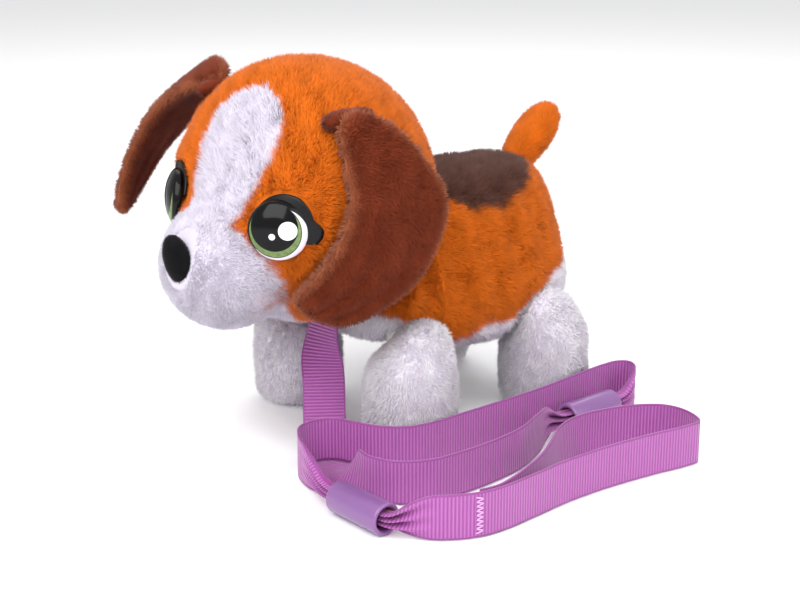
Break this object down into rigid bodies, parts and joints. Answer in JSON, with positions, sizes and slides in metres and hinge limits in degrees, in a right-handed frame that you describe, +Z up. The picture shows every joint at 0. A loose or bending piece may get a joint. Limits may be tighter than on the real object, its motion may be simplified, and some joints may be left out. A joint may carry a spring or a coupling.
{
  "type": "interactive plush pet",
  "caption": "Walking plush puppy with a nodding, turning head, swinging legs and ears, a wagging tail and a flat ribbon leash lying beside it.",
  "frame": {"origin": "on the floor, under the middle of the puppy's own box, ears included and leash left out", "axes": "+Z up, the puppy faces -Y, its left side is +X"},
  "size_m": [0.2528, 0.2425, 0.1794],
  "materials": {
    "plush_orange": "deep orange plush pile",
    "plush_dark": "dark brown plush pile",
    "plush_chestnut": "chestnut plush pile",
    "plush_white": "white plush pile",
    "flock_black": "black flocked",
    "eye_gloss": "printed and clear coated",
    "ribbon_violet": "ribbed woven ribbon",
    "sleeve_lilac": "satin moulded",
    "housing_plastic": "satin moulded",
    "mechanism_nylon": "natural nylon",
    "steel_bright": "bright plated",
    "cell_jacket": "printed metal jacket",
    "board_green": "solder resist",
    "black_plastic": "moulded"
  },
  "bodies": {
    "torso": {"torso_shell_left": "housing_plastic", "torso_shell_right": "housing_plastic", "gearbox_plate_inner": "housing_plastic", "gearbox_plate_outer": "housing_plastic", "motor": "steel_bright", "battery_box": "housing_plastic", "battery_1": "cell_jacket", "battery_2": "cell_jacket", "battery_3": "cell_jacket", "circuit_board": "board_green", "speaker": "black_plastic", "belly_panel": "housing_plastic", "neck_post": "housing_plastic", "tail_pin": "steel_bright", "collar": "ribbon_violet", "trunk_plush": "plush_orange", "saddle_plush": "plush_dark", "hip_screw_front_left": "steel_bright", "hip_screw_front_right": "steel_bright", "hip_screw_rear_left": "steel_bright", "hip_screw_rear_right": "steel_bright", "leash_throat_run": "ribbon_violet", "leash_back_run": "ribbon_violet", "leash_hand_loop": "ribbon_violet", "sleeve_front": "sleeve_lilac", "sleeve_rear": "sleeve_lilac"},
    "crank": {"crank_shaft": "mechanism_nylon", "crank_wheel_left": "mechanism_nylon", "crank_wheel_right": "mechanism_nylon"},
    "idler": {"idler_gear": "mechanism_nylon"},
    "pinion": {"motor_pinion": "steel_bright"},
    "leg_front_left": {"leg_lever_front_left": "mechanism_nylon", "leg_plush_front_left": "plush_white"},
    "leg_front_right": {"leg_lever_front_right": "mechanism_nylon", "leg_plush_front_right": "plush_white"},
    "leg_rear_left": {"leg_lever_rear_left": "mechanism_nylon", "leg_plush_rear_left": "plush_white"},
    "leg_rear_right": {"leg_lever_rear_right": "mechanism_nylon", "leg_plush_rear_right": "plush_white"},
    "rod_left": {"link_rod_left": "mechanism_nylon"},
    "rod_right": {"link_rod_right": "mechanism_nylon"},
    "yoke": {"head_yoke": "mechanism_nylon"},
    "head": {"nod_pin": "steel_bright", "skull_front": "housing_plastic", "skull_back": "housing_plastic", "head_plush": "plush_orange", "muzzle_plush": "plush_white", "nose": "flock_black", "eye_left": "eye_gloss", "eye_right": "eye_gloss", "ear_pin_left": "steel_bright", "ear_pin_right": "steel_bright"},
    "ear_left": {"ear_left": "plush_chestnut"},
    "ear_right": {"ear_right": "plush_chestnut"},
    "tail": {"tail_lever": "mechanism_nylon", "tail_plush": "plush_orange"},
    "door": {"battery_door": "housing_plastic", "door_screw": "steel_bright"},
    "switch": {"power_switch": "black_plastic"}
  },
  "joints": [
    {"name": "crank_spin", "type": "hinge", "parent": "torso", "child": "crank", "pos_m": [0.018, 0.0298, 0.062], "axis": [1, 0, 0], "continuous": true},
    {"name": "idler_spin", "type": "hinge", "parent": "torso", "child": "idler", "pos_m": [0.018, 0.03718, 0.07294], "axis": [1, 0, 0], "continuous": true},
    {"name": "pinion_spin", "type": "hinge", "parent": "torso", "child": "pinion", "pos_m": [0.018, 0.04872, 0.07625], "axis": [1, 0, 0], "continuous": true},
    {"name": "front_left_swing", "type": "hinge", "parent": "torso", "child": "leg_front_left", "pos_m": [0.018, -0.0102, 0.05], "axis": [1, 0, 0], "range_deg": [-12, 12]},
    {"name": "front_right_swing", "type": "hinge", "parent": "torso", "child": "leg_front_right", "pos_m": [0.018, -0.0102, 0.05], "axis": [1, 0, 0], "range_deg": [-12, 12]},
    {"name": "rear_left_swing", "type": "hinge", "parent": "torso", "child": "leg_rear_left", "pos_m": [0.018, 0.0698, 0.05], "axis": [1, 0, 0], "range_deg": [-12, 12]},
    {"name": "rear_right_swing", "type": "hinge", "parent": "torso", "child": "leg_rear_right", "pos_m": [0.018, 0.0698, 0.05], "axis": [1, 0, 0], "range_deg": [-12, 12]},
    {"name": "rod_left_pivot", "type": "hinge", "parent": "leg_front_left", "child": "rod_left", "pos_m": [0.018, -0.0102, 0.062], "axis": [1, 0, 0], "range_deg": [-12, 12]},
    {"name": "rod_right_pivot", "type": "hinge", "parent": "leg_front_right", "child": "rod_right", "pos_m": [0.018, -0.0102, 0.062], "axis": [1, 0, 0], "range_deg": [-12, 12]},
    {"name": "head_turn", "type": "hinge", "parent": "torso", "child": "yoke", "pos_m": [0.018, -0.0422, 0.12], "axis": [0.0521, 0.0046, 0.9986], "range_deg": [-20, 12]},
    {"name": "head_nod", "type": "hinge", "parent": "yoke", "child": "head", "pos_m": [0.018, -0.0422, 0.12], "axis": [0.9948, 0.087, -0.0523], "range_deg": [-8, 10]},
    {"name": "ear_left_swing", "type": "hinge", "parent": "head", "child": "ear_left", "pos_m": [0.0622, -0.05239, 0.1598], "axis": [-0.0872, 0.9962, 0], "range_deg": [-25, 0]},
    {"name": "ear_right_swing", "type": "hinge", "parent": "head", "child": "ear_right", "pos_m": [-0.01938, -0.05952, 0.16409], "axis": [-0.0872, 0.9962, 0], "range_deg": [0, 12]},
    {"name": "tail_wag", "type": "hinge", "parent": "torso", "child": "tail", "pos_m": [0.018, 0.0838, 0.106], "axis": [0, 0, 1], "range_deg": [-20, 20]},
    {"name": "door_hinge", "type": "hinge", "parent": "torso", "child": "door", "pos_m": [0.018, 0.0418, 0.0477], "axis": [-1, 0, 0], "range_deg": [0, 80]},
    {"name": "switch_slide", "type": "slide", "parent": "torso", "child": "switch", "axis": [1, 0, 0], "range_m": [0, 0.003]}
  ],
  "couplings": [
    {"joint": "idler_spin", "follows": "crank_spin", "ratio": -3.4},
    {"joint": "pinion_spin", "follows": "crank_spin", "ratio": 10.2},
    {"joint": "rear_left_swing", "follows": "front_left_swing", "ratio": 1},
    {"joint": "front_right_swing", "follows": "front_left_swing", "ratio": -1},
    {"joint": "rear_right_swing", "follows": "front_left_swing", "ratio": -1},
    {"joint": "rod_left_pivot", "follows": "front_left_swing", "ratio": -1},
    {"joint": "rod_right_pivot", "follows": "front_left_swing", "ratio": 1}
  ]
}
